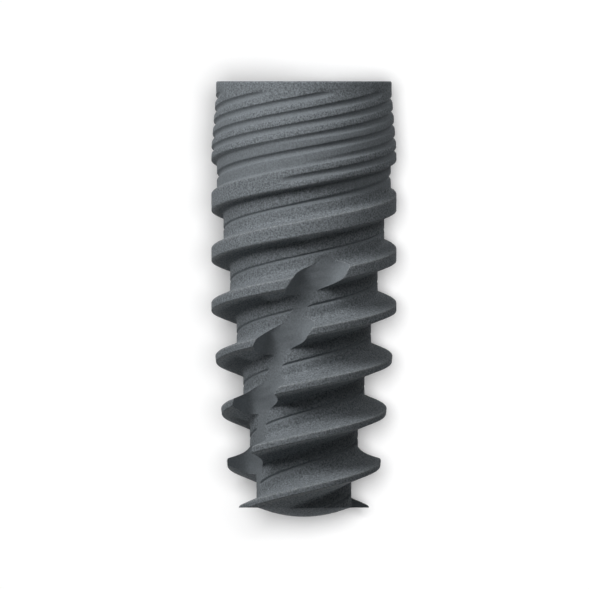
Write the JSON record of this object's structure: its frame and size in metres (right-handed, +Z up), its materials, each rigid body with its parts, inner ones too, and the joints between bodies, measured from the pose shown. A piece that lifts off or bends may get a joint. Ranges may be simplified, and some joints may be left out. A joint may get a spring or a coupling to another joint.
{
  "type": "dental implant",
  "caption": "Tapered screw-shaped implant for the jawbone, with a double-lead thread, micro grooves round the neck, spiral cutting flutes and an internal hexagon socket.",
  "frame": {"origin": "middle of the platform, on the implant's axis, at the mouth of the hexagon socket", "axes": "the implant lies on its side with its axis along Y: +Y out of the platform towards the abutment, the apex towards -Y, +Z up, +X to the right; it has come to rest turned 15.3 degrees about +Y from where the side that the picture shows would face +Z"},
  "size_m": [0.0042, 0.01, 0.0042],
  "materials": {
    "blasted_titanium": "blasted and acid-etched titanium alloy, dark grey and matt with a fine grain"
  },
  "bodies": {
    "root": {"implant_body": "blasted_titanium"}
  },
  "joints": []
}
